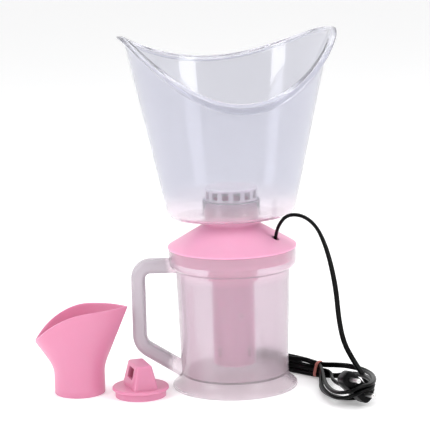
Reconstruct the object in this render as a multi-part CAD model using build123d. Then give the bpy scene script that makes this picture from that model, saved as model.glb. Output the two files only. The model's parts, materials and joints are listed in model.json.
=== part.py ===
from build123d import *
import math
import os

# Electrode facial steamer: a frosted water jug with a lift-off lid, a steam chamber that hangs
# from the lid, a push-on face mask, two loose outlets that fit the same neck, and a flat mains
# flex tied in a hank.
#
# Frame: millimetres, +Z up, origin on the jug's axis at the plane of its foot. The face mask's
# long way lies near X, the handle points to -X and the flex leaves the lid on the +X side.

# ---- jug ----
foot_radius = 55.8
waist_radius = 47.7
waist_height = 14.0
body_top_radius = 50.6
body_top_height = 106.5
collar_radius = 56.3
collar_bottom = 114.0
collar_top = 125.8
jug_wall = 1.9
floor_top = 13.5
floor_thickness = 2.0
lip_round = 0.6

# ---- handle, moulded on the jug ----
handle_reach = 84.0
handle_top = 109.6
handle_elbow = 38.5
handle_root = 15.0
handle_thickness = 12.6
handle_depth = 14.5
handle_corner = 4.5

# ---- lid: cone, neck, skirt and the tube that carries the steam chamber ----
lid_radius = 57.0
lid_seat = 125.9
lid_edge_height = 127.1
neck_radius = 23.6
neck_base = 146.0
neck_top = 167.0
neck_bore = 22.5
neck_step = 150.0
neck_fillet = 3.0
edge_fillet = 0.6
lid_wall = 2.0
skirt_radius = 53.5
skirt_bottom = 115.0
seal_heights = (118.6, 121.6)
seal_radius = 53.95
seal_height = 1.0
tube_radius = 22.2
tube_bore = 19.2
tube_bottom = 96.0
boss_circle = 40.0
boss_angles = (35.0, 155.0, 275.0)
boss_radius = 3.6
pilot_radius = 1.3
plate_bottom = 115.2
plate_thickness = 1.8

# ---- flex and where it leaves the lid ----
flex_diameter = 4.8
flex_hole_radius = 3.1
flex_hole_low = (37.3, -13.6, 129.0)
flex_hole_high = (38.6, -21.2, 140.5)
clamp_x = 36.4
clamp_y = -9.2
clamp_top = 122.0
core_radius = 0.9
core_height = 120.0

# ---- electrodes and their holder ----
holder_bottom = 112.0
holder_top = 117.5
holder_core_radius = 16.4
holder_core_bottom = 74.0
screw_hole_radius = 1.4
main_vent_radius = 3.6
main_vent_y = 11.4
side_vent_radius = 2.2
side_vent_x = 8.4
side_vent_y = 10.4
electrode_gap = 12.0
electrode_width = 12.0
electrode_thickness = 1.5
electrode_bottom = 32.0
electrode_holes = (47.0, 56.0, 65.0)
tab_reach = 16.0
tab_thickness = 1.2
terminal_x = 12.0
spacer_bottom = 36.0
spacer_height = 5.0

# ---- steam chamber: a sleeve that twists off the lid's tube ----
chamber_radius = 18.6
chamber_wall = 1.6
chamber_bottom = 22.5
chamber_top = 108.0
cap_bottom = 20.0
lug_bottom = 99.0
lug_height = 4.0
lug_radius = 21.9
lug_arc = 14.0
slot_arc = 42.0
slot_clearance = 0.5

# ---- face mask ----
mask_bottom = 153.3
mask_half_width = 56.1
mask_half_depth = 44.5
mask_width_rise = 0.217
mask_depth_rise = 0.20
mask_wall = 1.6
mask_corner = 8.5
mask_turn = 12.9
rim_peak = 316.0
rim_front_bend = 0.0128
rim_back_bend = 0.0056
lip_width = 5.5
lip_thickness = 2.4
socket_radius = 25.4
socket_bore = 23.95
socket_top = 168.8
shoulder_bottom = 167.2
diffuser_radius = 22.9
diffuser_top = 179.6
diffuser_wall = 1.4
diffuser_spigot = 21.4
window_count = 14
window_width = 6.0

# ---- inhaler mask, loose on the surface ----
inhaler_x = -138.0
inhaler_y = -16.0
inhaler_neck_radius = 22.4
inhaler_neck_height = 17.0
inhaler_wall = 1.8
inhaler_loft_top = 82.0
inhaler_left = -63.0
inhaler_right = 46.8
inhaler_half_depth = 25.0

# ---- nozzle cap, loose on the surface ----
nozzle_x = -83.5
nozzle_y = -31.0
nozzle_skirt_radius = 22.4
nozzle_flange_radius = 25.0
nozzle_flange_bottom = 5.8
nozzle_flange_top = 8.9
nozzle_wall = 1.8
spout_top = 29.6
slot_height = 21.2
spout_turn = -72.0

# ---- hank, band and plug on the surface ----
band_point = (76.4, 13.6, 9.0)
hank_heading = 138.3
bundle_width = 9.0
bundle_height = 15.4
bundle_corner = 3.5
bundle_length = 98.0
band_width = 3.2
loop_centre = (99.0, -23.0)
loop_half_width = 26.5
loop_half_depth = 43.5
loop_strand = 9.0
loop_height = 6.0
plug_face = (105.3, -83.5, 17.5)
plug_pin_way = (0.345, -0.921, 0.174)
plug_long_way = (0.68, 0.118, -0.724)
plug_width = 32.0
plug_thickness = 13.0
plug_length = 25.0
plug_shoulder = 13.0
pin_pitch = 19.0
pin_radius = 2.0
pin_length = 17.0
pin_root_radius = 1.5
pin_root_length = 12.0
relief_length = 12.0


def turned(*points):
    """A solid of revolution about Z from (radius, height) corners."""
    profile = make_face(Polyline(*points, close=True))
    return revolve(Plane.XZ * profile, Axis.Z)


def turned_curves(curves):
    """A solid of revolution about Z from joined curves in radius and height."""
    return revolve(Plane.XZ * make_face(curves), Axis.Z)


def rod(radius, low, high, x=0.0, y=0.0):
    """An upright cylinder between two heights."""
    return Pos(x, y, low) * extrude(Circle(radius), amount=high - low)


def block(size_x, size_y, low, high, x=0.0, y=0.0):
    """An upright block between two heights."""
    return Pos(x, y, low) * extrude(Rectangle(size_x, size_y), amount=high - low)


def between(start, end, radius):
    """A cylinder from one point to another."""
    line = Line(start, end)
    return extrude(Plane(line @ 0, z_dir=line % 0) * Circle(radius), amount=line.length)


def polar(radius, angle):
    """The x and y of a point on a circle about the axis."""
    turn = math.radians(angle)
    return radius * math.cos(turn), radius * math.sin(turn)


def sector(inner, outer, low, high, start, arc):
    """Part of an upright ring, from a start angle through an arc."""
    corners = ((inner, low), (outer, low), (outer, high), (inner, high))
    profile = Plane.XZ * make_face(Polyline(*corners, close=True))
    return Rot(0, 0, start) * revolve(profile, Axis.Z, revolution_arc=arc)


def jug_form(inset, bottom, top):
    """The jug's turned body, set in by a wall and closed between two heights."""
    waist = (waist_radius - inset, waist_height)
    body_top = (body_top_radius - inset, body_top_height)
    collar = (collar_radius - inset, collar_bottom)
    flare_start = (foot_radius - inset, 1.6)
    flare = Bezier(flare_start, (51.0 - inset, 5.0), (waist_radius - inset, 8.0), waist)
    shoulder = Bezier(body_top, (51.0 - inset, 109.0), (collar_radius - inset, 107.5), collar)
    sides = (
        Line((0, 0), (foot_radius - inset, 0))
        + Line((foot_radius - inset, 0), flare_start)
        + flare
        + Line(waist, body_top)
        + shoulder
        + Line(collar, (collar_radius - inset, 140))
        + Line((collar_radius - inset, 140), (0, 140))
        + Line((0, 140), (0, 0))
    )
    return turned_curves(sides) & rod(80, bottom, top)


def handle():
    """The moulded loop: out from the collar, down, and slanting back in to the waist."""
    route = FilletPolyline(
        (-46, 0, handle_top),
        (-handle_reach, 0, handle_top),
        (-handle_reach, 0, handle_elbow),
        (-44, 0, handle_root - 1.5),
        radius=[11.0, 16.0],
    )
    section = Plane((-46, 0, handle_top), x_dir=(0, 1, 0), z_dir=(-1, 0, 0)) * RectangleRounded(
        handle_depth, handle_thickness, handle_corner
    )
    return sweep(section, path=route)


def jug():
    outside = jug_form(0, 0, collar_top) + handle()
    water_space = jug_form(jug_wall, floor_top, collar_top + 1)
    foot_recess = jug_form(jug_wall, -1, floor_top - floor_thickness)
    body = outside - water_space - foot_recess
    return fillet(body.edges().group_by(Axis.Z)[-1], lip_round)


def cone_height(radius):
    """Height of the lid's outer cone at a radius."""
    rise = (neck_base - lid_edge_height) / (lid_radius - neck_radius - 2.0)
    return lid_edge_height + (lid_radius - radius) * rise


def circle_at(shape, radius, height):
    """The round edges of a turned shape that lie at a radius and height."""
    rings = shape.edges().filter_by(GeomType.CIRCLE)
    return [e for e in rings if abs(e.radius - radius) < 0.01 and abs(e.center().Z - height) < 0.01]


def lid():
    inner_edge = skirt_radius - lid_wall
    drop = lid_wall * 1.16
    shell = turned(
        (lid_radius, lid_seat),
        (lid_radius, lid_edge_height),
        (neck_radius, cone_height(neck_radius)),
        (neck_radius, neck_top),
        (neck_bore, neck_top),
        (neck_bore, neck_step),
        (tube_bore, neck_step - 1.0),
        (tube_bore, tube_bottom),
        (tube_radius, tube_bottom),
        (tube_radius, cone_height(tube_radius) - drop - 1.5),
        (inner_edge, cone_height(inner_edge) - drop),
        (inner_edge, skirt_bottom),
        (skirt_radius, skirt_bottom),
        (skirt_radius, lid_seat),
    )
    shell = fillet(shell.edges().group_by(Axis.Z)[-1], 0.4)
    shell = fillet(circle_at(shell, neck_radius, cone_height(neck_radius)), neck_fillet)
    shell = fillet(circle_at(shell, lid_radius, lid_edge_height), edge_fillet)
    solid_form = turned(
        (0, lid_seat - 20),
        (skirt_radius, lid_seat - 20),
        (skirt_radius, lid_edge_height - 0.8),
        (neck_radius + 2.0, neck_base - 0.8),
        (0, neck_base - 0.8),
    )
    for low in seal_heights:
        shell += rod(seal_radius, low, low + seal_height) - rod(skirt_radius - 0.5, low - 1, low + 2)
    for angle in boss_angles:
        x, y = polar(boss_circle, angle)
        shell += rod(boss_radius, plate_bottom + plate_thickness, 140, x, y) & solid_form
        shell -= rod(pilot_radius, 110, 128, x, y)
    shell -= between(flex_hole_low, flex_hole_high, flex_hole_radius)
    for side in (-1, 1):
        start = 90 * (1 - side) - lug_arc / 2 - slot_clearance * 2
        low, high = lug_bottom - slot_clearance, lug_bottom + lug_height + slot_clearance
        shell -= sector(tube_bore - 1, tube_radius + 1, low, high, start, slot_arc)
        entry = start + slot_arc - lug_arc - 4 * slot_clearance
        shell -= sector(
            tube_bore - 1, tube_radius + 1, tube_bottom - 1, high, entry, lug_arc + 4 * slot_clearance
        )
        shell -= Pos(side * 22, 0, core_height) * Rot(0, 90, 0) * Cylinder(core_radius + 0.3, 8)
    return shell


def lid_underplate():
    plate = rod(skirt_radius - lid_wall - 0.2, plate_bottom, plate_bottom + plate_thickness)
    plate -= rod(tube_radius + 0.25, plate_bottom - 1, plate_bottom + plate_thickness + 1)
    for angle in boss_angles:
        plate -= rod(1.7, plate_bottom - 1, plate_bottom + plate_thickness + 1, *polar(boss_circle, angle))
    for offset in (-6.5, 6.5):
        plate -= rod(pilot_radius, 110, 120, *clamp_point(offset))
    return plate


def screw(radius, head_radius, head_bottom, head_top, tip, x, y):
    """A pan-head screw: head between two heights, shank to its tip, cross recess in the head."""
    towards_tip = 1 if tip > head_top else -1
    start = head_top if towards_tip > 0 else head_bottom
    body = rod(head_radius, head_bottom, head_top, x, y)
    body = fillet(body.edges().group_by(Axis.Z)[0 if towards_tip > 0 else -1], 0.6)
    body += rod(radius, min(start, tip), max(start, tip), x, y)
    recess_low = head_bottom - 1 if towards_tip > 0 else head_top - 0.8
    for turn in (0, 90):
        recess = extrude(Rectangle(head_radius * 1.1, 0.7), amount=1.8)
        body -= Pos(x, y, recess_low) * Rot(0, 0, turn) * recess
    return body


def underplate_screws():
    head_bottom = plate_bottom - 1.8
    return [
        screw(1.25, 2.9, head_bottom, plate_bottom, 124, *polar(boss_circle, angle))
        for angle in boss_angles
    ]


def clamp_point(offset):
    """A point on the clamp's long way, square to the radius through the flex."""
    turn = math.atan2(clamp_y, clamp_x)
    return clamp_x - offset * math.sin(turn), clamp_y + offset * math.cos(turn)


def cord_clamp():
    low = plate_bottom + plate_thickness
    turn = math.degrees(math.atan2(clamp_y, clamp_x))
    body = extrude(RectangleRounded(9, 20, 2), amount=clamp_top - low)
    body = Pos(clamp_x, clamp_y, low) * Rot(0, 0, turn) * body
    for offset in (-6.5, 6.5):
        body -= rod(1.5, low - 1, clamp_top + 1, *clamp_point(offset))
    return body


def clamp_screws():
    return [
        screw(1.25, 2.4, clamp_top, clamp_top + 1.6, 115.6, *clamp_point(offset))
        for offset in (-6.5, 6.5)
    ]


def electrode_holder():
    """The plug between lid and chamber: a disc in the lid's tube and a core in the chamber."""
    holder = rod(tube_bore - 0.1, holder_bottom, holder_top)
    holder += rod(holder_core_radius, holder_core_bottom, holder_bottom)
    low, high = holder_core_bottom - 1, holder_top + 1
    for side in (-1, 1):
        holder -= block(
            electrode_thickness + 0.1, electrode_width + 0.1, low, high,
            side * (electrode_gap + electrode_thickness) / 2,
        )
        holder -= rod(screw_hole_radius, holder_bottom, high, side * terminal_x)
        holder -= rod(main_vent_radius, low, high, 0, side * main_vent_y)
        for lean in (-1, 1):
            holder -= rod(side_vent_radius, low, high, side * side_vent_x, lean * side_vent_y)
    return holder


def electrode(side):
    x = side * (electrode_gap + electrode_thickness) / 2
    plate = block(electrode_thickness, electrode_width, electrode_bottom, holder_top + tab_thickness, x)
    inner = electrode_gap / 2
    tab = block(
        tab_reach - inner, electrode_width, holder_top, holder_top + tab_thickness,
        side * (tab_reach + inner) / 2,
    )
    blade = plate + tab
    for height in electrode_holes:
        blade -= Pos(x, 0, height) * Rot(0, 90, 0) * Cylinder(2.0, 6)
    return blade - rod(1.6, 110, 125, side * terminal_x)


def terminal_screws():
    lug_top = holder_top + tab_thickness + 0.8
    return [
        screw(1.3, 2.7, lug_top, lug_top + 1.7, holder_bottom + 0.4, side * terminal_x, 0)
        for side in (-1, 1)
    ]


def ring_terminals():
    low = holder_top + tab_thickness
    rings = []
    for side in (-1, 1):
        ring = rod(3.2, low, low + 0.8, side * terminal_x)
        ring += block(4.2, 3.0, low, low + 0.8, side * (terminal_x + 3.2))
        barrel = Cylinder(1.5, 3.0)
        ring += Pos(side * (terminal_x + 5.6), 0, core_height) * Rot(0, 90, 0) * barrel
        ring += block(1.4, 3.0, low, core_height, side * (terminal_x + 4.7))
        rings.append(ring - rod(1.45, low - 1, low + 2, side * terminal_x))
    return rings


def core(route, radii):
    """One insulated core of the flex, along straight runs joined by arcs."""
    path = FilletPolyline(*route, radius=radii)
    start = Plane(path @ 0, z_dir=path % 0)
    return sweep(start * Circle(core_radius), path=path)


def live_core():
    turn = math.degrees(math.atan2(clamp_y, clamp_x))
    face_x, face_y = polar(math.hypot(clamp_x, clamp_y) - 4.5, turn + 4)
    start = (terminal_x + 7.1, 0, core_height)
    route = (start, (29.5, 0, core_height), (face_x, face_y, core_height))
    return core(route, [4.0])


def neutral_core():
    turn = math.degrees(math.atan2(clamp_y, clamp_x))
    face_x, face_y = polar(math.hypot(clamp_x, clamp_y) - 4.5, turn - 5)
    route = (
        (-terminal_x - 7.1, 0, core_height),
        (-29.5, 0, core_height),
        (-26.0, -19.0, core_height),
        (-9.0, -31.0, core_height),
        (13.0, -30.0, core_height),
        (face_x - 7.0, face_y - 4.5, core_height),
        (face_x, face_y, core_height),
    )
    return core(route, [5.0, 7.0, 9.0, 9.0, 6.0])


def electrode_spacer():
    top = spacer_bottom + spacer_height
    bar = Pos(0, 0, spacer_bottom) * extrude(RectangleRounded(21, 16, 3), amount=spacer_height)
    for side in (-1, 1):
        x = side * (electrode_gap + electrode_thickness) / 2
        bar -= block(electrode_thickness + 0.1, electrode_width + 0.1, spacer_bottom - 1, top + 1, x)
    return bar - rod(3.0, spacer_bottom - 1, top + 1)


def steam_chamber():
    inner = chamber_radius - chamber_wall
    sleeve = turned(
        (inner, chamber_bottom), (chamber_radius, chamber_bottom),
        (chamber_radius, chamber_top), (inner, chamber_top),
    )
    for side in (0, 180):
        start = side - lug_arc / 2
        top = lug_bottom + lug_height
        sleeve += sector(inner + 0.5, lug_radius, lug_bottom, top, start, lug_arc)
    for angle in (45, 135, 225, 315):
        window = block(8, 3.2, 28, 37, chamber_radius)
        sleeve -= Rot(0, 0, angle) * window
    for angle in (0, 90, 180, 270):
        vent = Pos(chamber_radius, 0, 66) * Rot(0, 90, 0) * Cylinder(1.6, 8)
        sleeve -= Rot(0, 0, angle + 22) * vent
    return sleeve


def chamber_cap():
    spigot = chamber_radius - chamber_wall - 0.1
    cap = turned(
        (0, cap_bottom), (chamber_radius - 0.8, cap_bottom), (chamber_radius, cap_bottom + 0.8),
        (chamber_radius, chamber_bottom), (spigot, chamber_bottom), (spigot, chamber_bottom + 4),
        (spigot - 1.5, chamber_bottom + 4), (spigot - 1.5, chamber_bottom), (0, chamber_bottom),
    )
    for angle in range(0, 360, 45):
        cap -= rod(2.2, cap_bottom - 1, chamber_bottom + 1, *polar(11.5, angle))
    return cap - rod(2.6, cap_bottom - 1, chamber_bottom + 1)


def oval_cone(inset, low, high):
    """The mask's flared oval, set in from its outside by a wall, between two heights."""
    sections = []
    for height in (low, high):
        rise = height - mask_bottom
        half_width = mask_half_width + mask_width_rise * rise - inset
        half_depth = mask_half_depth + mask_depth_rise * rise - inset
        sections.append(Pos(0, 0, height) * Ellipse(half_width, half_depth))
    return loft(sections, ruled=True)


def rim_side(drop, far_height):
    """All that lies to one side of the rim's saddle: above it, or below it if far_height is low."""
    reach = 110.0
    peak = rim_peak - drop
    front = (-reach, peak - rim_front_bend * reach**2)
    back = (reach, peak - rim_back_bend * reach**2)
    outline = (
        Bezier(front, (-reach / 2, peak), (0, peak))
        + Bezier((0, peak), (reach / 2, peak), back)
        + Polyline(back, (reach, far_height), (-reach, far_height), front)
    )
    return extrude(Plane.YZ * make_face(outline), amount=130, both=True)


def face_mask():
    outside = oval_cone(0, mask_bottom, 335)
    outside = fillet(outside.edges().group_by(Axis.Z)[0], mask_corner)
    inside = oval_cone(mask_wall, mask_bottom + mask_wall, 336)
    inside = fillet(inside.edges().group_by(Axis.Z)[0], mask_corner - mask_wall)
    above_rim = rim_side(0, 420)
    bowl = outside - inside - above_rim
    lip = oval_cone(-lip_width, 220, 335) - oval_cone(mask_wall, 219, 336)
    lip = lip - above_rim - rim_side(lip_thickness, 100)
    bowl += lip
    bowl += rod(socket_radius, mask_bottom, socket_top)
    bowl -= rod(socket_bore, mask_bottom - 1, shoulder_bottom)
    bowl -= rod(diffuser_spigot + 0.1, shoulder_bottom - 1, socket_top + 1)
    return Rot(0, 0, mask_turn) * bowl


def steam_diffuser():
    inner = diffuser_radius - diffuser_wall
    turret = turned(
        (diffuser_spigot, shoulder_bottom + 0.1), (diffuser_spigot, socket_top),
        (diffuser_radius, socket_top), (diffuser_radius, diffuser_top - 0.8),
        (diffuser_radius - 0.8, diffuser_top), (0, diffuser_top),
        (0, diffuser_top - diffuser_wall), (inner - 0.6, diffuser_top - diffuser_wall),
        (inner - 0.6, shoulder_bottom + 0.1),
    )
    for step in range(window_count):
        window = block(8, window_width, socket_top + 1.6, diffuser_top - 2.2, diffuser_radius)
        turret -= Rot(0, 0, (step + 0.5) * 360 / window_count) * window
    return Rot(0, 0, mask_turn) * turret


def lens(left, right, half_depth, height):
    """A pointed oval: two arcs that meet at its left and right ends."""
    middle = (left + right) / 2
    near = ThreePointArc((left, 0), (middle, -half_depth), (right, 0))
    far = ThreePointArc((right, 0), (middle, half_depth), (left, 0))
    return Pos(0, 0, height) * make_face(near + far)


def inhaler_form(inset):
    """The inhaler mask's filled form, set in by a wall: round neck, then a flare to a lens."""
    radius = inhaler_neck_radius - inset
    bottom = -1.0 if inset else 0.0
    neck = rod(radius, bottom, inhaler_neck_height)
    near = ThreePointArc((-radius, 0), (0, -radius), (radius, 0))
    far = ThreePointArc((radius, 0), (0, radius), (-radius, 0))
    round_base = Pos(0, 0, inhaler_neck_height) * make_face(near + far)
    mouth = lens(
        inhaler_left + inset * 1.6, inhaler_right - inset * 1.6,
        inhaler_half_depth - inset, inhaler_loft_top,
    )
    return neck + loft([round_base, mouth], ruled=True)


def inhaler_mask():
    body = inhaler_form(0) - inhaler_form(inhaler_wall)
    rim = Spline((-45, 36), (-36, 50.5), (-22.5, 64), (-4, 74.5), (18, 77.0), (56, 77.5))
    over = rim + Polyline((56, 77.5), (56, 120), (-80, 120), (-80, 36), (-45, 36))
    body -= extrude(Plane.XZ * make_face(over), amount=60, both=True)
    return Pos(inhaler_x, inhaler_y, 0) * body


def spout(inset):
    """The nozzle's tapered spout, set in by a wall and run on past the flange."""
    low = nozzle_flange_top - (4.0 if inset else 0.5)
    base = Pos(0, 0, low) * RectangleRounded(38 - 2 * inset, 23 - 2 * inset, 3.2)
    top = Pos(0, 0, spout_top - inset) * RectangleRounded(30 - 2 * inset, 13.5 - 2 * inset, 2.4)
    form = loft([base, top], ruled=True)
    return fillet(form.edges().group_by(Axis.Z)[-1], 1.6 if inset == 0 else 0.5)


def nozzle_cap():
    inner = nozzle_skirt_radius - nozzle_wall
    base = turned(
        (inner, 0), (nozzle_skirt_radius, 0), (nozzle_skirt_radius, nozzle_flange_bottom),
        (nozzle_flange_radius - 0.9, nozzle_flange_bottom),
        (nozzle_flange_radius, nozzle_flange_bottom + 0.9),
        (nozzle_flange_radius, nozzle_flange_top - 0.9),
        (nozzle_flange_radius - 0.9, nozzle_flange_top), (0, nozzle_flange_top),
        (0, nozzle_flange_top - nozzle_wall), (inner, nozzle_flange_top - nozzle_wall),
    )
    body = base + spout(0) - spout(nozzle_wall)
    body -= Pos(0, -10, slot_height) * Box(15, 16, 10)
    return Pos(nozzle_x, nozzle_y, 0) * Rot(0, 0, spout_turn) * body


def cord_tube(route, label):
    """The flex as a plain round tube: straight runs joined by the largest arcs they allow."""
    points = [Vector(*point) for point in route]
    radii = []
    for before, here, after in zip(points, points[1:], points[2:]):
        turn = math.radians((here - before).get_angle(after - here))
        shorter = min((here - before).length, (after - here).length)
        radii.append(0.45 * shorter / math.tan(turn / 2))
    path = FilletPolyline(*route, radius=radii)
    start = Plane(path @ 0, z_dir=path % 0)
    tube = sweep(start * Circle(flex_diameter / 2), path=path)
    expected = math.pi * flex_diameter**2 / 4 * path.length
    print(label, "radii", [round(radius, 1) for radius in radii])
    print(label, "length", round(path.length, 1), "volume ratio", round(tube.volume / expected, 4))
    return tube


def cord_drop():
    """The hanging stretch: up out of the lid, over, and down to the hank."""
    route = (
        (36.1, -8.0, 120.0),
        (37.3, -13.6, 129.0),
        (38.6, -21.2, 140.5),
        (41.2, -29.8, 150.5),
        (48.0, -36.5, 160.0),
        (61.0, -39.0, 160.0),
        (72.5, -36.5, 150.5),
        (79.8, -33.5, 135.0),
        (85.5, -30.5, 115.0),
        (90.0, -27.5, 90.0),
        (92.0, -25.5, 64.0),
        (96.0, -24.0, 42.0),
        (104.0, -23.5, 26.0),
        (111.5, -25.5, 14.5),
        (115.5, -31.0, 7.0),
    )
    below_clamp_top = block(20, 20, 110, clamp_top, clamp_x, clamp_y)
    return cord_tube(route, "hanging stretch") - below_clamp_top


def cord_tail():
    """The last stretch, from the tied bundle through the loop to the plug."""
    relief_end = plug_place(0, 0, -plug_length - relief_length)
    beyond = plug_place(0, 0, -plug_length - relief_length - 8.0)
    route = (
        (83.0, 6.5, 7.6),
        (86.0, -5.5, 7.6),
        (85.6, -18.5, 8.6),
        (86.4, -31.0, 9.3),
        tuple(beyond),
        tuple(relief_end),
    )
    return cord_tube(route, "plug stretch")


def cord_hank():
    """The outer shape of the tied flex: a bundle behind the jug and a loop in front of the band."""
    heading = Rot(0, 0, hank_heading)
    section = Plane.YZ * RectangleRounded(bundle_width, bundle_height, bundle_corner)
    bundle = extrude(section, amount=bundle_length + 12)
    bundle = Pos(*band_point) * heading * Pos(-12, 0, 0) * bundle
    ring = Ellipse(loop_half_width, loop_half_depth)
    ring -= Ellipse(loop_half_width - loop_strand, loop_half_depth - loop_strand)
    ring = extrude(ring, amount=loop_height)
    return bundle + Pos(*loop_centre, 0) * ring


def rubber_band():
    outer = RectangleRounded(bundle_width + 2.4, bundle_height + 2.4, bundle_corner + 1.1)
    inner = RectangleRounded(bundle_width + 0.1, bundle_height + 0.1, bundle_corner)
    band = extrude(Plane.YZ * (outer - inner), amount=band_width)
    return Pos(*band_point) * Rot(0, 0, hank_heading) * band


def plug_plane():
    """The plug's own frame: x along its pair of pins, z the way the pins point."""
    pins = Vector(*plug_pin_way).normalized()
    long_way = Vector(*plug_long_way)
    long_way = (long_way - pins * long_way.dot(pins)).normalized()
    return Plane(plug_face, x_dir=long_way, z_dir=pins)


def plug_place(x, y, z):
    """A point given in the plug's frame, in the frame of the whole object."""
    return plug_plane().from_local_coords(Vector(x, y, z))


def plug_body():
    face = RectangleRounded(plug_width, plug_thickness, 4.5)
    back = RectangleRounded(plug_width * 0.55, plug_thickness * 0.85, 4.0)
    shoulder = Pos(0, 0, -plug_shoulder)
    body = extrude(face, amount=-plug_shoulder)
    body += loft([shoulder * face, Pos(0, 0, -plug_length) * back], ruled=True)
    body = fillet(body.edges().group_by(Axis.Z)[-1], 1.0)
    for side in (-1, 1):
        root = Cylinder(pin_root_radius, pin_root_length, align=(Align.CENTER, Align.CENTER, Align.MAX))
        body -= Pos(side * pin_pitch / 2, 0, 0) * root
    return plug_plane() * body


def plug_pins():
    pins = []
    for side in (-1, 1):
        pin = Cylinder(pin_radius, pin_length, align=(Align.CENTER, Align.CENTER, Align.MIN))
        pin = fillet(pin.edges().group_by(Axis.Z)[-1], 1.2)
        pin += Cylinder(pin_root_radius, pin_root_length, align=(Align.CENTER, Align.CENTER, Align.MAX))
        pins.append(plug_plane() * Pos(side * pin_pitch / 2, 0, 0) * pin)
    return pins


def plug_relief():
    wide = Pos(0, 0, -plug_length) * Circle(4.6)
    narrow = Pos(0, 0, -plug_length - relief_length) * Circle(3.1)
    return plug_plane() * loft([wide, narrow], ruled=True)


def main():
    """Builds every node and writes one STEP file for each."""
    nodes = {
        "jug": jug(),
        "lid": lid(),
        "lid_underplate": lid_underplate(),
        "underplate_screws": underplate_screws(),
        "cord_clamp": cord_clamp(),
        "clamp_screws": clamp_screws(),
        "live_core": live_core(),
        "neutral_core": neutral_core(),
        "ring_terminals": ring_terminals(),
        "terminal_screws": terminal_screws(),
        "electrode_holder": electrode_holder(),
        "live_electrode": electrode(1),
        "neutral_electrode": electrode(-1),
        "electrode_spacer": electrode_spacer(),
        "steam_chamber": steam_chamber(),
        "chamber_cap": chamber_cap(),
        "face_mask": face_mask(),
        "steam_diffuser": steam_diffuser(),
        "inhaler_mask": inhaler_mask(),
        "nozzle_cap": nozzle_cap(),
        "cord_drop": cord_drop(),
        "cord_hank": cord_hank(),
        "cord_tail": cord_tail(),
        "rubber_band": rubber_band(),
        "plug_body": plug_body(),
        "plug_relief": plug_relief(),
        "plug_pins": plug_pins(),
    }
    os.makedirs("parts", exist_ok=True)
    for name, shape in nodes.items():
        solids = shape if isinstance(shape, list) else [shape]
        export_step(Compound(children=[s for item in solids for s in item.solids()]), f"parts/{name}.step")


main()
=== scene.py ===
import json
import math

import bpy
import bmesh
from mathutils import Matrix, Vector


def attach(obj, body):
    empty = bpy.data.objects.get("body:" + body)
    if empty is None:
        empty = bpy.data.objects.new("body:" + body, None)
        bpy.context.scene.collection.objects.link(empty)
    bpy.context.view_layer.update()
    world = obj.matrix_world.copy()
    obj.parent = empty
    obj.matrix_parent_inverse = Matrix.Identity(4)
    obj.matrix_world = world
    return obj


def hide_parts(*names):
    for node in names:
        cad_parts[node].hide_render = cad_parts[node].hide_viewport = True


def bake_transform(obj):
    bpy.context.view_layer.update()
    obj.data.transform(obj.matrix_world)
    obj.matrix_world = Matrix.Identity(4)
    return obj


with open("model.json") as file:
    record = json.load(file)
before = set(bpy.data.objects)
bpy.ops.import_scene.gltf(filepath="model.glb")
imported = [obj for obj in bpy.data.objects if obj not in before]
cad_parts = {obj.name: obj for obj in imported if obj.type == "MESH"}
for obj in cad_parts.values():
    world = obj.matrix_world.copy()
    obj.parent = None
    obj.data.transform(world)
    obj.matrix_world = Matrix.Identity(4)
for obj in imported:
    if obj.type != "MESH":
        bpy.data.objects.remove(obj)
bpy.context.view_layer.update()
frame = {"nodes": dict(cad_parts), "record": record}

# Lengths below are in millimetres, in the frame's own axes, and MM turns them into metres.
MM = 0.001

# ---- the camera, in metres and degrees ----
CAMERA_PLACE = (0, -1.8, 0.505)
CAMERA_LENS = 174.05
CAMERA_PITCH = 11.03
CAMERA_YAW = -0.46
CAMERA_ROLL = 1.45

# ---- which material each slot of the record takes, and the nodes that take another ----
SLOT_LOOKS = {
    "frosted_jug": "jug",
    "pink_plastic": "pink",
    "clear_mask": "mask",
    "black_flex": "flex",
    "dark_plastic": "black",
    "red_rubber": "band",
    "steel": "steel",
    "electrode_steel": "electrode",
    "brass": "brass",
    "insulator": "insulator",
    "brown_insulation": "brown",
    "blue_insulation": "blue",
}
NODE_LOOKS = {
    # painted light: the diffuser, whose slot is the clear mask's, takes a pinkish-white plastic for the
    # pink neck glowing through it
    "steam_diffuser": "turret",
    "nozzle_cap": "rose",
    "steam_chamber": "inner",
    "chamber_cap": "inner",
}

# ---- where the see-through plastics change, and where light and shade are painted into their colour ----
FOOT_PAINTED_LIGHT_FROM, FOOT_PAINTED_LIGHT_TO = 8.0, 42.0
COLLAR_PAINTED_GLOW_FROM, COLLAR_PAINTED_GLOW_TO = 106.0, 98.0
HANDLE_SHADE_AND_SOLID_FROM, HANDLE_SHADE_AND_SOLID_TO = -60.5, -54.5
# painted light: the mask is painted a pale pink between these heights, round its floor and socket
SOCKET_PAINTED_GLOW_FROM, SOCKET_PAINTED_GLOW_TO = 160.0, 178.0

# ---- the face mask, in its own turned axes: x along its width, y along its depth ----
MASK_BOTTOM = 153.3
MASK_HALF_WIDTH = 56.1
MASK_HALF_DEPTH = 44.5
MASK_WIDTH_RISE = 0.217
MASK_DEPTH_RISE = 0.20
MASK_WALL = 1.6
MASK_CORNER = 8.5
MASK_TURN = 12.9
RIM_PEAK = 316.0
RIM_FRONT_BEND = 0.0128
RIM_BACK_BEND = 0.0056
LIP_WIDTH = 5.5
LIP_THICKNESS = 2.4
SOCKET_RADIUS = 25.4
SOCKET_BORE = 23.95
SOCKET_TOP = 168.8
SHOULDER_BOTTOM = 167.2
SHOULDER_BORE = 21.5

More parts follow.
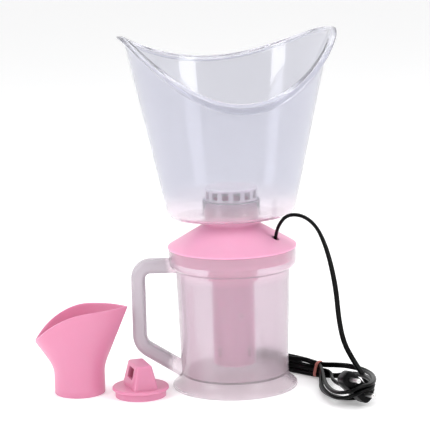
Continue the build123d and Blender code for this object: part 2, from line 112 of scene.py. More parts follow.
# ---- the inhaler mask ----
INHALER_PLACE = Vector((-138.0, -16.0, 0))
INHALER_NECK_RADIUS = 22.4
INHALER_NECK_HEIGHT = 17.0
INHALER_MOUTH_HEIGHT = 82.0
INHALER_WALL = 1.8
INHALER_LEFT = -63.0
INHALER_RIGHT = 46.8
INHALER_HALF_DEPTH = 25.0
INHALER_RIM = (
    (-66.0, 20.0, 0),
    (-45.0, 36.0, 0),
    (-38.0, 49.0, 0),
    (-24.0, 64.0, 0),
    (-4.0, 74.5, 0),
    (18.0, 77.0, 0),
    (56.0, 77.5, 0),
)

# ---- the flex ----
FLEX_WIDTH = 4.8
FLEX_THICKNESS = 3.0
HANGING_ROUTE = (
    (36.1, -8.0, 120.0),
    (37.3, -13.6, 129.0),
    (38.6, -21.2, 140.5),
    (41.2, -29.8, 150.5),
    (48.0, -36.5, 160.0),
    (61.0, -39.0, 160.0),
    (72.5, -36.5, 150.5),
    (79.8, -33.5, 135.0),
    (85.5, -30.5, 115.0),
    (90.0, -27.5, 90.0),
    (92.0, -25.5, 64.0),
    (96.0, -24.0, 42.0),
    (104.0, -23.5, 26.0),
    (111.5, -25.5, 14.5),
    (115.5, -31.0, 7.0),
)
PLUG_ROUTE = (
    (83.0, 6.5, 7.6),
    (86.0, -5.5, 7.6),
    (85.6, -18.5, 8.6),
    (86.4, -31.0, 9.3),
)
BAND_POINT = Vector((76.4, 13.6, 9.0))
BUNDLE_HEADING = math.radians(138.3)
BUNDLE_WAY = Vector((math.cos(BUNDLE_HEADING), math.sin(BUNDLE_HEADING), 0))
BUNDLE_SIDE = Vector((-BUNDLE_WAY.y, BUNDLE_WAY.x, 0))
LOWEST_ROW = 2.5
ROW_PITCH = 4.6
ROW_SPREAD = 0.8
COLUMN_OFFSET = 1.6
# the two turns of the loop that rise and pass in front of the plug, between its pins
OVER_PLUG_FIRST = (
    (91.0, 4.0, 3.5),
    (101.0, -6.0, 8.0),
    (109.0, -20.0, 11.5),
    (115.0, -36.0, 13.5),
    (118.0, -55.0, 15.5),
    (118.5, -73.0, 16.5),
    (115.5, -84.0, 16.2),
    (108.8, -86.5, 15.4),
    (102.0, -90.0, 12.6),
    (91.0, -83.5, 7.5),
    (82.0, -66.0, 5.5),
    (77.0, -45.0, 5.2),
    (75.5, -25.0, 5.6),
    (76.5, -6.0, 6.8),
)
OVER_PLUG_SECOND = (
    (96.0, 8.0, 12.6),
    (107.5, 0.0, 12.4),
    (116.0, -14.0, 12.8),
    (120.0, -32.0, 14.3),
    (120.5, -52.0, 16.5),
    (119.0, -70.0, 18.4),
    (114.5, -83.0, 19.0),
    (105.5, -87.5, 19.0),
    (98.0, -91.0, 15.8),
    (89.0, -83.0, 12.6),
    (83.5, -69.0, 10.5),
    (80.0, -50.0, 9.6),
    (78.5, -30.0, 9.4),
    (77.9, -8.0, 10.8),
)
LOOP_CENTRE = Vector((99.8, -23.0, 0))

# ---- the plug: its face, the way its pins point and the way from pin to pin ----
PLUG_FACE = Vector((105.3, -83.5, 17.5))
PLUG_WAY = Vector((0.345, -0.921, 0.174)).normalized()
PLUG_LONG = Vector((0.68, 0.118, -0.724))
PLUG_LONG = (PLUG_LONG - PLUG_WAY * PLUG_LONG.dot(PLUG_WAY)).normalized()
PLUG_THICK = PLUG_WAY.cross(PLUG_LONG)
PLUG_WIDTH = 32.0
PLUG_THICKNESS = 13.0
PLUG_LENGTH = 25.0
PLUG_SHOULDER = 13.0
RELIEF_LENGTH = 12.0


# ---------------------------------------------------------------- camera, stage and light

def add_camera():
    """The view: from the front, a little above, with a long lens and the picture slightly rolled."""
    data = bpy.data.cameras.new("view")
    data.sensor_width = 36.0
    data.lens = CAMERA_LENS
    data.clip_start = 0.05
    data.clip_end = 60.0
    camera = bpy.data.objects.new("view", data)
    bpy.context.scene.collection.objects.link(camera)
    pitch = math.radians(CAMERA_PITCH)
    yaw = math.radians(CAMERA_YAW)
    roll = math.radians(CAMERA_ROLL)
    forward = Vector((math.sin(yaw) * math.cos(pitch), math.cos(yaw) * math.cos(pitch), -math.sin(pitch)))
    level = Vector((math.cos(yaw), -math.sin(yaw), 0))
    up = level.cross(forward)
    right = level * math.cos(roll) - up * math.sin(roll)
    top = level * math.sin(roll) + up * math.cos(roll)
    turn = Matrix((right, top, -forward)).transposed().to_4x4()
    camera.matrix_world = Matrix.Translation(CAMERA_PLACE) @ turn
    bpy.context.scene.camera = camera


def add_light(name, place, target, width, height, power):
    """A soft white panel, in metres and watts, that faces its target."""
    data = bpy.data.lights.new(name, "AREA")
    data.shape = "RECTANGLE"
    data.size = width
    data.size_y = height
    data.energy = power
    light = bpy.data.objects.new(name, data)
    light.location = place
    light.rotation_euler = (Vector(target) - Vector(place)).to_track_quat("-Z", "Y").to_euler()
    bpy.context.scene.collection.objects.link(light)


def add_world():
    """Bright all round, and dimmer from behind the camera, as in a white tent that is open in front."""
    world = bpy.data.worlds.new("studio")
    bpy.context.scene.world = world
    world.use_nodes = True
    nodes, links = world.node_tree.nodes, world.node_tree.links
    background = nodes["Background"]
    place = nodes.new("ShaderNodeTexCoord")
    split = nodes.new("ShaderNodeSeparateXYZ")
    links.new(place.outputs["Generated"], split.inputs[0])
    ramp = nodes.new("ShaderNodeMapRange")
    ramp.inputs["From Min"].default_value = -0.9
    ramp.inputs["From Max"].default_value = 0.6
    ramp.inputs["To Min"].default_value = 0.3
    ramp.inputs["To Max"].default_value = 1.0
    links.new(split.outputs["Y"], ramp.inputs["Value"])
    paths = nodes.new("ShaderNodeLightPath")
    pick = nodes.new("ShaderNodeMix")
    pick.data_type = "FLOAT"
    links.new(paths.outputs["Is Camera Ray"], pick.inputs["Factor"])
    links.new(ramp.outputs["Result"], pick.inputs["A"])
    pick.inputs["B"].default_value = 1.0
    links.new(pick.outputs["Result"], background.inputs["Strength"])
    background.inputs["Color"].default_value = (1, 1, 1, 1)


def add_stage():
    """A wide pale floor that fades into the background."""
    mesh = bpy.data.meshes.new("floor")
    reach = 6.0
    corners = [(-reach, -reach, 0), (reach, -reach, 0), (reach, reach, 0), (-reach, reach, 0)]
    mesh.from_pydata(corners, [], [(0, 1, 2, 3)])
    floor = bpy.data.objects.new("floor", mesh)
    bpy.context.scene.collection.objects.link(floor)
    material = bpy.data.materials.new("pale_floor")
    material.use_nodes = True
    shader = material.node_tree.nodes["Principled BSDF"]
    shader.inputs["Base Color"].default_value = (0.93, 0.93, 0.935, 1)
    shader.inputs["Roughness"].default_value = 0.6
    shader.inputs["Specular IOR Level"].default_value = 0.2
    shader.inputs["Emission Color"].default_value = (1, 1, 1, 1)
    shader.inputs["Emission Strength"].default_value = 0.24
    mesh.materials.append(material)


# ---------------------------------------------------------------- materials

def plastic(name, colour, roughness, shade=0.94, grain=900.0, bump=0.02, streak=None, **sockets):
    """A moulded plastic or similar: a base colour that drifts a little, uneven gloss and fine grain."""
    material = bpy.data.materials.new(name)
    material.use_nodes = True
    nodes, links = material.node_tree.nodes, material.node_tree.links
    shader = nodes["Principled BSDF"]
    place = nodes.new("ShaderNodeTexCoord")
    drift = nodes.new("ShaderNodeTexNoise")
    drift.inputs["Scale"].default_value = 38.0
    drift.inputs["Detail"].default_value = 3.0
    source = place.outputs["Object"]
    if streak:
        stretch = nodes.new("ShaderNodeMapping")
        stretch.inputs["Scale"].default_value = streak
        links.new(source, stretch.inputs["Vector"])
        links.new(stretch.outputs[0], drift.inputs["Vector"])
    else:
        links.new(source, drift.inputs["Vector"])
    tint = nodes.new("ShaderNodeMix")
    tint.data_type = "RGBA"
    tint.inputs["A"].default_value = (*[c * shade for c in colour], 1)
    tint.inputs["B"].default_value = (*colour, 1)
    links.new(drift.outputs["Fac"], tint.inputs["Factor"])
    links.new(tint.outputs["Result"], shader.inputs["Base Color"])
    gloss = nodes.new("ShaderNodeMapRange")
    gloss.inputs["To Min"].default_value = roughness * 0.85
    gloss.inputs["To Max"].default_value = roughness * 1.15
    links.new(drift.outputs["Fac"], gloss.inputs["Value"])
    links.new(gloss.outputs["Result"], shader.inputs["Roughness"])
    fine = nodes.new("ShaderNodeTexNoise")
    fine.inputs["Scale"].default_value = grain
    fine.inputs["Detail"].default_value = 4.0
    links.new(source, fine.inputs["Vector"])
    relief = nodes.new("ShaderNodeBump")
    relief.inputs["Strength"].default_value = bump
    relief.inputs["Distance"].default_value = 0.0004
    links.new(fine.outputs["Fac"], relief.inputs["Height"])
    links.new(relief.outputs["Normal"], shader.inputs["Normal"])
    for socket, value in sockets.items():
        shader.inputs[socket.replace("_", " ")].default_value = value
    return material


def along_axis(material, axis, start, end):
    """A factor that runs from 0 to 1 between two places, in millimetres, along an axis of the frame."""
    nodes, links = material.node_tree.nodes, material.node_tree.links
    place = nodes.new("ShaderNodeTexCoord")
    split = nodes.new("ShaderNodeSeparateXYZ")
    links.new(place.outputs["Object"], split.inputs[0])
    change = nodes.new("ShaderNodeMapRange")
    change.inputs["From Min"].default_value = start * MM
    change.inputs["From Max"].default_value = end * MM
    links.new(split.outputs[axis], change.inputs["Value"])
    return change.outputs["Result"]


def tint_before(material, colour, factor):
    """Mixes a second base colour in, where the factor is 0."""
    nodes, links = material.node_tree.nodes, material.node_tree.links
    shader = nodes["Principled BSDF"]
    tint = nodes.new("ShaderNodeMix")
    tint.data_type = "RGBA"
    tint.inputs["A"].default_value = (*colour, 1)
    links.new(shader.inputs["Base Color"].links[0].from_socket, tint.inputs["B"])
    links.new(factor, tint.inputs["Factor"])
    links.new(tint.outputs["Result"], shader.inputs["Base Color"])


def cloud_before(material, solid, thin, factor):
    """Lets less light through where the factor is 0."""
    nodes, links = material.node_tree.nodes, material.node_tree.links
    blend = nodes.new("ShaderNodeMapRange")
    blend.inputs["To Min"].default_value = solid
    blend.inputs["To Max"].default_value = thin
    links.new(factor, blend.inputs["Value"])
    links.new(blend.outputs["Result"], nodes["Principled BSDF"].inputs["Transmission Weight"])


def frosted_plastic():
    """The jug's cloudy plastic: painted light makes it paler low down, a painted pink glow tints its
    collar, and painted shade makes the handle greyer, where the handle is also less clear.
    """
    wall_clear, handle_clear = 0.8, 0.3
    frosted = plastic(
        "frosted_jug", (0.86, 0.78, 0.835), 0.19, 0.98, 700, 0.03, (1, 1, 0.12),
        Transmission_Weight=wall_clear, IOR=1.4,
    )
    # painted light: the foot and the wall low down are painted paler than the rest of the jug
    tint_before(frosted, (0.95, 0.86, 0.91), along_axis(frosted, "Z", FOOT_PAINTED_LIGHT_FROM, FOOT_PAINTED_LIGHT_TO))
    # painted light: the collar is painted a paler pink, for the pink lid glowing through it
    tint_before(frosted, (0.97, 0.83, 0.91), along_axis(frosted, "Z", COLLAR_PAINTED_GLOW_FROM, COLLAR_PAINTED_GLOW_TO))
    # painted shade: the handle is painted greyer, for the dimmer light through its thick plastic; the
    # lower transmission there is the plastic's own, since thick plastic is less clear
    handle = along_axis(frosted, "X", HANDLE_SHADE_AND_SOLID_FROM, HANDLE_SHADE_AND_SOLID_TO)
    tint_before(frosted, (0.64, 0.58, 0.635), handle)
    cloud_before(frosted, handle_clear, wall_clear, handle)
    return frosted


def mask_plastic():
    """The mask's clear plastic, with a pale pink painted round its floor and socket as painted light, for
    the pink neck glowing through it.
    """
    clear = plastic(
        "clear_mask", (0.78, 0.783, 0.845), 0.09, 0.985, 500, 0.03, (1, 1, 0.15),
        Transmission_Weight=0.86, IOR=1.45,
    )
    # painted light: a pale pink painted round the floor and socket, for the pink neck seen glowing through
    tint_before(clear, (0.975, 0.915, 0.955), along_axis(clear, "Z", SOCKET_PAINTED_GLOW_FROM, SOCKET_PAINTED_GLOW_TO))
    return clear


def glowing_plastic(name, colour, roughness, shade, grain, bump, weight, depth):
    """An opaque plastic that light enters a little way, to a depth in metres for each colour."""
    return plastic(
        name, colour, roughness, shade, grain, bump,
        Subsurface_Weight=weight, Subsurface_Radius=depth, Subsurface_Scale=1.0,
    )


def make_materials():
    """Every material, in the order in which they are made."""
    pink = (0.3, (0.006, 0.003, 0.004))
    pale = (0.4, (0.006, 0.004, 0.005))
    return {
        "jug": frosted_plastic(),
        "pink": glowing_plastic("pink_plastic", (0.92, 0.40, 0.59), 0.34, 0.95, 800, 0.04, *pink),
        "rose": glowing_plastic("rose_plastic", (0.70, 0.265, 0.41), 0.36, 0.95, 800, 0.04, *pink),
        "inner": glowing_plastic("inner_pink", (1.0, 0.38, 0.62), 0.34, 0.95, 800, 0.04, *pink),
        "mask": mask_plastic(),
        # painted light: the turret is painted pinkish-white, for the pink neck glowing through it
        "turret": glowing_plastic("turret_painted_pink_glow", (1.0, 0.84, 0.93), 0.22, 0.98, 500, 0.03, *pale),
        "flex": plastic("black_flex", (0.001, 0.001, 0.0012), 0.3, 0.7, 260, 0.01, Specular_IOR_Level=0.1),
        "black": plastic(
            "black_plug", (0.0012, 0.001, 0.0014), 0.3, 0.7, 600, 0.05, Specular_IOR_Level=0.12,
        ),
        "band": plastic("red_rubber", (0.50, 0.16, 0.13), 0.6, 0.8, 700, 0.15),
        "steel": plastic("bright_steel", (0.80, 0.79, 0.78), 0.3, 0.9, 1200, 0.06, Metallic=1.0),
        "electrode": plastic("electrode_steel", (0.45, 0.45, 0.46), 0.4, 0.8, 600, 0.15, Metallic=1.0),
        "brass": plastic("brass", (0.76, 0.57, 0.27), 0.3, 0.85, 900, 0.08, Metallic=1.0),
        "insulator": plastic("insulator", (0.86, 0.44, 0.60), 0.5, 0.93, 600, 0.08),
        "brown": plastic("brown_insulation", (0.16, 0.06, 0.03), 0.45, 0.85, 700, 0.05),
        "blue": plastic("blue_insulation", (0.04, 0.12, 0.42), 0.45, 0.85, 700, 0.05),
    }


# ---------------------------------------------------------------- mesh tools

def add_piece(name, vertices, faces, material, sharp):
    """A mesh piece from points in millimetres, smooth but for edges sharper than an angle."""
    mesh = bpy.data.meshes.new(name)
    mesh.from_pydata([Vector(v) * MM for v in vertices], [], faces)
    piece = bpy.data.objects.new(name, mesh)
    bpy.context.scene.collection.objects.link(piece)
    mesh.materials.append(material)
    tidy_mesh(mesh, sharp)
    return piece


def tidy_mesh(mesh, sharp):
    """Merges doubled points, turns the faces outwards and sets the smooth shading."""
    work = bmesh.new()
    work.from_mesh(mesh)
    bmesh.ops.remove_doubles(work, verts=work.verts, dist=1e-6)
    bmesh.ops.recalc_face_normals(work, faces=work.faces)
    work.to_mesh(mesh)
    work.free()
    mesh.polygons.foreach_set("use_smooth", [True] * len(mesh.polygons))
    mesh.set_sharp_from_angle(angle=math.radians(sharp))
    mesh.update()


def smooth_line(points, steps=8):
    """The points that a quadratic NURBS spline gives for these control points."""
    curve = bpy.data.curves.new("route", "CURVE")
    curve.dimensions = "3D"
    curve.resolution_u = steps
    spline = curve.splines.new("NURBS")
    spline.points.add(len(points) - 1)
    for control, point in zip(spline.points, points):
        control.co = (*point, 1)
    spline.order_u = 3
    spline.use_endpoint_u = True
    spline.resolution_u = steps
    holder = bpy.data.objects.new("route", curve)
    mesh = bpy.data.meshes.new_from_object(holder)
    line = [v.co.copy() for v in mesh.vertices]
    bpy.data.meshes.remove(mesh)
    bpy.data.objects.remove(holder)
    bpy.data.curves.remove(curve)
    return line


def skin(rings):
    """Faces that join rings of points, each with the same count, into a tube with closed ends."""
    count = len(rings[0])
    vertices = [p for ring in rings for p in ring]
    faces = []
    for i in range(len(rings) - 1):
        for j in range(count):
            k = (j + 1) % count
            faces.append((i * count + j, i * count + k, (i + 1) * count + k, (i + 1) * count + j))
    faces.append(tuple(range(count))[::-1])
    faces.append(tuple(range((len(rings) - 1) * count, len(rings) * count)))
    return vertices, faces


def loop_skin(rings):
    """Faces that join rings of points into a tube whose last ring meets its first."""
    count, total = len(rings[0]), len(rings)
    faces = []
    for i in range(total):
        for j in range(count):
            k, n = (j + 1) % count, (i + 1) % total
            faces.append((i * count + j, i * count + k, n * count + k, n * count + j))
    return [p for ring in rings for p in ring], faces


# ---------------------------------------------------------------- the face mask

def oval_point(angle, height, out):
    """A point on the mask's flared oval, pushed out from its outside."""
    rise = height - MASK_BOTTOM
    x = (MASK_HALF_WIDTH + MASK_WIDTH_RISE * rise + out) * math.cos(angle)
    y = (MASK_HALF_DEPTH + MASK_DEPTH_RISE * rise + out) * math.sin(angle)
    return Vector((x, y, height))


def rim_point(angle, out, drop):
    """A point of the rim: where the flared oval meets the saddle that the rim lies in."""
    height = RIM_PEAK - 60.0
    for _ in range(24):
        depth = oval_point(angle, height, out).y
        bend = RIM_FRONT_BEND if depth < 0 else RIM_BACK_BEND
        height = 0.5 * height + 0.5 * (RIM_PEAK - drop - bend * depth * depth)
    return oval_point(angle, height, out)


def add_mask(material):
    """The flared bowl with its rounded bottom, rolled lip and the socket that fits the neck."""
    columns, rows = 192, 30
    angles = [2 * math.pi * i / columns for i in range(columns)]
    rings = []

    def circle(radius, height):
        rings.append([Vector((radius * math.cos(a), radius * math.sin(a), height)) for a in angles])

    def oval(height, out):
        flat = [oval_point(a, MASK_BOTTOM + MASK_CORNER, out) for a in angles]
        rings.append([Vector((p.x, p.y, height)) for p in flat])

    def wall(out, share):
        low = MASK_BOTTOM + MASK_CORNER
        ring = []
        for a in angles:
            top = rim_point(a, out, LIP_THICKNESS + 2.0).z
            ring.append(oval_point(a, low + (top - low) * share, out))
        rings.append(ring)

    def lip(out, drop):
        rings.append([rim_point(a, out, drop) for a in angles])

    def corner(radius, out, share):
        turn = math.pi / 2 * share
        height = MASK_BOTTOM + MASK_CORNER - radius * math.cos(turn)
        oval(height, out - MASK_CORNER + radius * math.sin(turn))

    circle(SOCKET_BORE, MASK_BOTTOM + 0.6)
    circle(SOCKET_BORE + 0.6, MASK_BOTTOM)
    circle(SOCKET_RADIUS + 4.0, MASK_BOTTOM)
    for step in range(7):
        corner(MASK_CORNER, 0, step / 6)
    for row in range(1, rows + 1):
        wall(0, row / rows)
    for out, drop in ((0.25, LIP_THICKNESS + 1.1), (0.9, LIP_THICKNESS + 0.3), (1.9, LIP_THICKNESS)):
        lip(out, drop)
    lip_edge = (
        (LIP_WIDTH - 0.9, LIP_THICKNESS),
        (LIP_WIDTH - 0.25, LIP_THICKNESS - 0.3),
        (LIP_WIDTH, LIP_THICKNESS - 0.95),
        (LIP_WIDTH, 0.95),
        (LIP_WIDTH - 0.25, 0.3),
        (LIP_WIDTH - 0.9, 0),
    )
    for out, drop in lip_edge:
        lip(out, drop)
    for out, drop in ((1.2, 0.0), (0.0, 0.15), (-0.9, 0.6), (-MASK_WALL + 0.12, 1.6), (-MASK_WALL, 3.0)):
        lip(out, drop)
    for row in range(rows, 0, -1):
        wall(-MASK_WALL, row / rows)
    for step in range(6, -1, -1):
        corner(MASK_CORNER - MASK_WALL, 0, step / 6)
    floor = MASK_BOTTOM + MASK_WALL
    circle(SOCKET_RADIUS + 4.0, floor)
    circle(SOCKET_RADIUS + 1.0, floor)
    circle(SOCKET_RADIUS + 0.3, floor + 0.3)
    circle(SOCKET_RADIUS, floor + 1.0)
    for radius, height in ((SOCKET_RADIUS, SOCKET_TOP - 0.7), (SOCKET_RADIUS - 0.7, SOCKET_TOP)):
        circle(radius, height)
    circle(SHOULDER_BORE + 0.2, SOCKET_TOP)
    circle(SHOULDER_BORE, SOCKET_TOP - 0.2)
    circle(SHOULDER_BORE, SHOULDER_BOTTOM)
    circle(SOCKET_BORE, SHOULDER_BOTTOM)
    turn = Matrix.Rotation(math.radians(MASK_TURN), 3, "Z")
    rings = [[turn @ p for p in ring] for ring in rings]
    mask = add_piece("flared_mask", *loop_skin(rings), material, 50)
    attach(mask, "mask")
    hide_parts("face_mask")
    return mask


# ---------------------------------------------------------------- the inhaler mask

def height_on(line, x):
    """The height of a line of (x, height) points above a place."""
    for before, after in zip(line, line[1:]):
        if before.x <= x <= after.x:
            return before.y + (after.y - before.y) * (x - before.x) / (after.x - before.x)
    return line[-1].y


def inhaler_point(share, side, height, inset):
    """A point on the inhaler mask: share runs from its left end to its right end, on one side."""
    radius = INHALER_NECK_RADIUS - inset
    turn = math.pi * share
    base = Vector((-radius * math.cos(turn), side * radius * math.sin(turn)))
    left, right = INHALER_LEFT + 1.6 * inset, INHALER_RIGHT - 1.6 * inset
    half, sagitta = (right - left) / 2, INHALER_HALF_DEPTH - inset
    arc_radius = (half * half + sagitta * sagitta) / (2 * sagitta)
    swing = math.asin(half / arc_radius) * (2 * share - 1)
    across = arc_radius * math.cos(swing) - (arc_radius - sagitta)
    mouth = Vector(((left + right) / 2 + arc_radius * math.sin(swing), side * across))
    climb = max(0.0, (height - INHALER_NECK_HEIGHT) / (INHALER_MOUTH_HEIGHT - INHALER_NECK_HEIGHT))
    soft = 0.22
    blend = climb * climb / (2 * soft) if climb < soft else climb - soft / 2
    place = base.lerp(mouth, blend / (1 - soft / 2))
    return Vector((place.x, place.y, height))


def add_inhaler(material):
    """The small mask for nose and mouth: a round neck that flares to a pointed oval, cut aslant."""
    rim_line = smooth_line(INHALER_RIM)
    steps, rows = 56, 26
    around = [(i / steps, -1) for i in range(steps)] + [(1 - i / steps, 1) for i in range(steps)]

    def rim_height(share, side, inset):
        low, high = INHALER_NECK_HEIGHT, INHALER_MOUTH_HEIGHT
        for _ in range(30):
            middle = (low + high) / 2
            if middle < height_on(rim_line, inhaler_point(share, side, middle, inset).x):
                low = middle
            else:
                high = middle
        return low

    tops = {inset: [rim_height(s, d, inset) for s, d in around] for inset in (0, INHALER_WALL)}
    rings = []

    def neck(height, inset):
        rings.append([inhaler_point(s, d, height, inset) for s, d in around])

    def flare(part, inset, drop=0.0):
        ring = []
        for (s, d), top in zip(around, tops[0 if inset < INHALER_WALL / 2 else INHALER_WALL]):
            reach = top - drop - INHALER_NECK_HEIGHT
            ring.append(inhaler_point(s, d, INHALER_NECK_HEIGHT + reach * part, inset))
        rings.append(ring)

    neck(0, 0.5)
    for height in (0.5, 6, 12, INHALER_NECK_HEIGHT):
        neck(height, 0)
    for row in range(1, rows + 1):
        flare(row / rows, 0, 0.7)
    for inset, drop in ((0.1, 0.25), (0.5, 0.02), (INHALER_WALL - 0.5, 0.02), (INHALER_WALL - 0.1, 0.25)):
        flare(1, inset, drop)
    for row in range(rows, 0, -1):
        flare(row / rows, INHALER_WALL, 0.7)
    for height in (INHALER_NECK_HEIGHT, 12, 6, 0.5):
        neck(height, INHALER_WALL)
    neck(0, INHALER_WALL - 0.5)
    rings = [[p + INHALER_PLACE for p in ring] for ring in rings]
    inhaler = add_piece("nose_and_mouth_mask", *loop_skin(rings), material, 50)
    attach(inhaler, "inhaler")
    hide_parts("inhaler_mask")
    return inhaler


# ---------------------------------------------------------------- the flex, its band and plug

def bundle_point(along, side, height):
    """A point of the tied bundle, measured from the band."""
    place = BAND_POINT + BUNDLE_WAY * along + BUNDLE_SIDE * side
    return Vector((place.x, place.y, height))


def row_height(row, along):
    """The rows lie close together in the band and spread a little behind it."""
    return LOWEST_ROW + row * (ROW_PITCH + ROW_SPREAD * min(1.0, along / 28.0))


def strand(row, side, reach, outwards=False):
    """One straight run of the bundle: from the band to its far end, or back out."""
    stops = (2.0, 18.0, 34.0, 50.0, 64.0)
    points = []
    for i, stop in enumerate(stops):
        points.append(bundle_point(stop * reach, side * (COLUMN_OFFSET + 0.3 * i), row_height(row, stop)))
    return points[::-1] if outwards else points


def rear_fold(size, reach, low, high):
    """The teardrop in which the flex turns back at the bundle's far end."""
    half = ((75.0, -7.5), (84.0, -12.0), (93.0, -11.0), (98.5, -4.0))
    outline = half + tuple((along, -side) for along, side in half[::-1])
    first, last = row_height(low, 60), row_height(high, 60)
    heights = [first + (last - first) * i / (len(outline) - 1) for i in range(len(outline))]
    return [bundle_point(a * reach, s * size, h) for (a, s), h in zip(outline, heights)]


def front_turn(half_width, half_depth, first, last, heights):
    """Part of a turn of the loop, clockwise from above, at heights that run evenly along it."""
    steps = max(4, round((first - last) / 27))
    points = []
    for i in range(steps + 1):
        share = i / steps
        at = share * (len(heights) - 1)
        k = min(int(at), len(heights) - 2)
        height = heights[k] + (heights[k + 1] - heights[k]) * (at - k)
        turn = math.radians(first + (last - first) * share)
        offset = Vector((half_width * math.cos(turn), half_depth * math.sin(turn), height))
        points.append(LOOP_CENTRE + offset)
    return points


def flex_runs():
    """The flex from the lid to its plug, in stretches: its points, and how flat each one lies."""
    into_plug = [PLUG_FACE - PLUG_WAY * (PLUG_LENGTH + RELIEF_LENGTH + back) for back in (8.0, 0.0, -4.0)]
    hump = strand(2, 1, 0.76, True)
    hump[-2] += Vector((0, 0, 2.2))
    return (
        ("hangs", [Vector(p) for p in HANGING_ROUTE]),
        ("loops", front_turn(24.3, 41.0, -30, -208, (3.7, 1.9, 1.8, 1.8, 2.5))),
        ("stands", strand(0, -1, 0.86) + rear_fold(1.0, 0.86, 0, 0) + strand(0, 1, 0.86, True)),
        ("loops", [Vector(p) for p in OVER_PLUG_FIRST]),
        ("stands", strand(1, -1, 0.82) + rear_fold(1.15, 0.82, 1, 2) + hump),
        ("loops", [Vector(p) for p in OVER_PLUG_SECOND]),
        ("stands", strand(2, -1, 0.76) + rear_fold(0.8, 0.76, 2, 1) + strand(1, 1, 0.76, True)),
        ("ends", [Vector(p) for p in PLUG_ROUTE] + into_plug),
    )


def flex_ways(runs):
    """The way that the flex's width points at each control point of its route."""
    route = [p for _, points in runs for p in points]
    facing, across, up = Vector((0.05, 1, 0)), Vector((0.95, 0.45, 0)), Vector((0, 0, 1))
    ways = []
    before = None
    for kind, points in runs:
        for i in range(len(points)):
            at = len(ways)
            share = i / (len(points) - 1)
            along = route[min(at + 1, len(route) - 1)] - route[max(at - 1, 0)]
            outward = up.cross(along).normalized()
            if kind == "hangs":
                ways.append(facing.lerp(across, min(1.0, max(0.0, (i - 6) / 3))))
            elif kind == "loops":
                flat = min(1.0, 4 * (1 - share if before == "hangs" else min(share, 1 - share)))
                ways.append(up.lerp(outward, flat).normalized())
            elif kind == "stands":
                ways.append(up.copy())
            else:
                ways.append(up.lerp(-PLUG_LONG, min(1.0, share * 1.4)).normalized())
        before = kind
    return route, ways


def add_flex(material):
    """Flat twin flex: two round cores side by side under one skin."""
    route, ways = flex_ways(flex_runs())
    line = smooth_line(route)
    wide = smooth_line(ways)
    half = FLEX_THICKNESS / 2
    apart = (FLEX_WIDTH - FLEX_THICKNESS) / 2
    section = []
    for centre, first in ((apart, -125), (-apart, 55)):
        for step in range(9):
            angle = math.radians(first + 250 * step / 8)
            section.append((centre + half * math.cos(angle), half * math.sin(angle)))
    rings = []
    for i, point in enumerate(line):
        along = (line[min(i + 1, len(line) - 1)] - line[max(i - 1, 0)]).normalized()
        flat = (wide[i] - along * wide[i].dot(along)).normalized()
        thick = along.cross(flat)
        rings.append([point + flat * a + thick * b for a, b in section])
    flex = add_piece("mains_flex", *skin(rings), material, 50)
    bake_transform(flex)
    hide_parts("cord_drop", "cord_hank", "cord_tail")
    return flex


def rounded_ring(half_width, half_height, corner, steps=6):
    """The points of a rounded rectangle about the origin."""
    points = []
    for quarter, (sx, sy) in enumerate(((1, 1), (-1, 1), (-1, -1), (1, -1))):
        for step in range(steps + 1):
            angle = math.pi / 2 * (quarter + step / steps)
            x = sx * (half_width - corner) + corner * math.cos(angle)
            points.append((x, sy * (half_height - corner) + corner * math.sin(angle)))
    return points


def add_band(material):
    """A rubber band wound three times round the bundle, its wraps crossing a little."""
    low, high = 0.7, row_height(2, 0) + FLEX_WIDTH / 2 + 0.6
    rings = []
    wraps, round_steps = 3, 6
    outline = rounded_ring(2 * COLUMN_OFFSET + 0.9, (high - low) / 2, 3.4)
    total = wraps * len(outline)
    line = []
    for i in range(total):
        side, height = outline[i % len(outline)]
        lift = 0.35 * math.sin(2.3 * i / len(outline) * math.pi)
        along = 1.2 + 1.5 * math.sin(math.pi * i / total) - 0.25 * height
        place = bundle_point(along, side * (1 + 0.03 * lift), (low + high) / 2 + height + 0.3 * lift)
        line.append(place)
    count = len(line)
    for i, point in enumerate(line):
        way = (line[(i + 1) % count] - line[i - 1]).normalized()
        flat = (BUNDLE_WAY - way * BUNDLE_WAY.dot(way)).normalized()
        out = way.cross(flat)
        ring = []
        for step in range(round_steps * 2):
            angle = math.pi * step / round_steps
            ring.append(point + flat * (0.95 * math.cos(angle)) + out * (0.55 * math.sin(angle)))
        rings.append(ring)
    band = add_piece("wound_band", *loop_skin(rings), material, 60)
    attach(band, "jug")
    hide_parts("rubber_band")
    return band


def plug_point(x, y, z):
    """A point in the plug's own axes: along the pins' pitch, across it, and the way the pins point."""
    return PLUG_FACE + PLUG_LONG * x + PLUG_THICK * y + PLUG_WAY * z


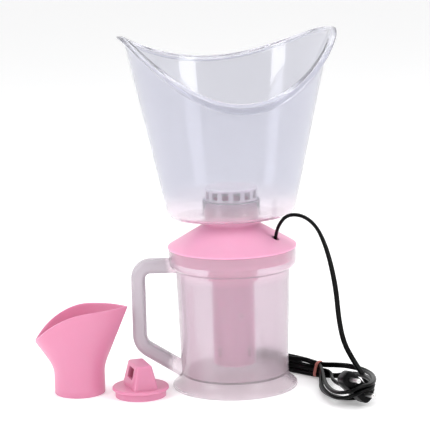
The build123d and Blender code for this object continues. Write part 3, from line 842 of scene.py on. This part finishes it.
def add_plug(material):
    """The moulded plug: a flat pin face, a grip that tapers to the flex, and a ribbed relief."""
    half_width, half_thick = PLUG_WIDTH / 2, PLUG_THICKNESS / 2
    stations = [
        (0, 2.2, 2.2),
        (0, 0.7, 0.7),
        (-0.25, 0.25, 0.25),
        (-0.9, 0, 0),
        (-5, 0, 0),
        (-PLUG_SHOULDER + 1.2, 0, 0),
        (-PLUG_SHOULDER, 0.25, 0.0),
        (-PLUG_SHOULDER - 1.5, 1.2, 0.1),
    ]
    for step in range(1, 9):
        share = step / 8
        reach = (PLUG_LENGTH - PLUG_SHOULDER - 3.0) * share
        stations.append((-PLUG_SHOULDER - 1.5 - reach, 1.2 + 5.4 * share, 0.1 + 0.9 * share))
    stations += [(-PLUG_LENGTH + 0.4, 7.1, 1.3), (-PLUG_LENGTH, 8.6, 2.2)]
    rings = []
    for z, narrower, thinner in stations:
        corner = min(4.2, half_thick - thinner - 0.2)
        outline = rounded_ring(half_width - narrower, half_thick - thinner, corner)
        rings.append([plug_point(x, y, z) for x, y in outline])
    body = add_piece("plug_grip", *skin(rings), material, 50)
    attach(body, "jug")
    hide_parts("plug_body")
    rings = []
    ribs, per_rib = 4, 6
    for i in range(ribs * per_rib + 1):
        share = i / (ribs * per_rib)
        swell = 0.32 * math.cos(2 * math.pi * ribs * share)
        half_x, half_y = 4.6 - 1.5 * share + swell, 3.7 - 1.4 * share + swell
        outline = rounded_ring(half_x, half_y, half_y - 0.05)
        back = -PLUG_LENGTH + 1.0 - (RELIEF_LENGTH + 1.0) * share
        rings.append([plug_point(x, y, back) for x, y in outline])
    relief = add_piece("ribbed_relief", *skin(rings), material, 50)
    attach(relief, "jug")
    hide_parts("plug_relief")
    return body, relief


def dress_nodes(paint):
    """Gives every CAD node its material."""
    for part in frame["record"]["subparts"]:
        name = part["node"]
        look = NODE_LOOKS.get(name, SLOT_LOOKS[part["material_slot"]])
        for slot in frame["nodes"][name].material_slots:
            slot.link = "OBJECT"
            slot.material = paint[look]


def main():
    add_camera()
    add_world()
    add_stage()
    for name, side in (("soft_left", -1.0), ("soft_right", 1.0)):
        add_light(name, (side, -0.75, 0.75), (0, 0, 0.12), 0.45, 0.95, 8.0)
    add_light("soft_top", (0, 0.2, 1.6), (0, 0, 0), 1.4, 1.0, 10.0)
    bpy.context.scene.view_settings.view_transform = "Standard"
    paint = make_materials()
    dress_nodes(paint)
    add_mask(paint["mask"])
    add_inhaler(paint["rose"])
    band = add_band(paint["band"])
    body, relief = add_plug(paint["black"])
    add_flex(paint["flex"])


main()
